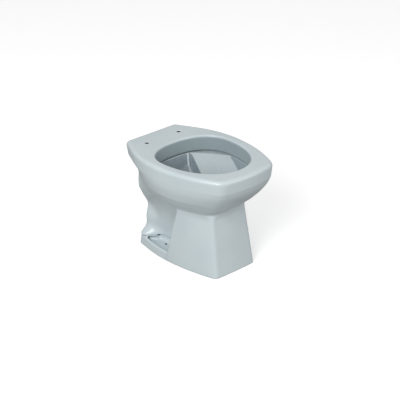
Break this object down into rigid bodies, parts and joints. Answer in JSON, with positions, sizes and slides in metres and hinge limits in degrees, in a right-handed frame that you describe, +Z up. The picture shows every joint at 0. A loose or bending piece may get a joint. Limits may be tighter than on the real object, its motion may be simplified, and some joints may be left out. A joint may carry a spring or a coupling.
{
  "type": "floor-standing toilet bowl",
  "caption": "Floor-standing flush toilet bowl of glazed vitreous china, with a squarish rim and deck, faceted basin, flared pedestal, side recesses and rear trap.",
  "frame": {"origin": "on the floor, under the middle of the bowl's length and width", "axes": "+Z up, -Y towards the front of the bowl, X across it"},
  "size_m": [0.3798, 0.5017, 0.39],
  "materials": {
    "glazed_china": "pale blue-grey glaze, satin gloss",
    "bare_china": "unglazed fired china",
    "seal_rubber": "matte black rubber"
  },
  "bodies": {
    "root": {"rim_deck": "glazed_china", "rim_channel_floor": "glazed_china", "bowl_apron": "glazed_china", "basin": "glazed_china", "sump": "glazed_china", "trap_riser": "glazed_china", "trap_crown": "glazed_china", "trap_down_leg": "glazed_china", "outlet_horn": "bare_china", "outlet_seal_ring": "seal_rubber", "flush_inlet_horn": "glazed_china", "flush_inlet_seal": "seal_rubber", "flush_spreader": "glazed_china", "pedestal_shell": "glazed_china", "trap_casing_left": "glazed_china", "trap_casing_right": "glazed_china", "foot_flange_left": "glazed_china", "foot_flange_right": "glazed_china"}
  },
  "joints": []
}
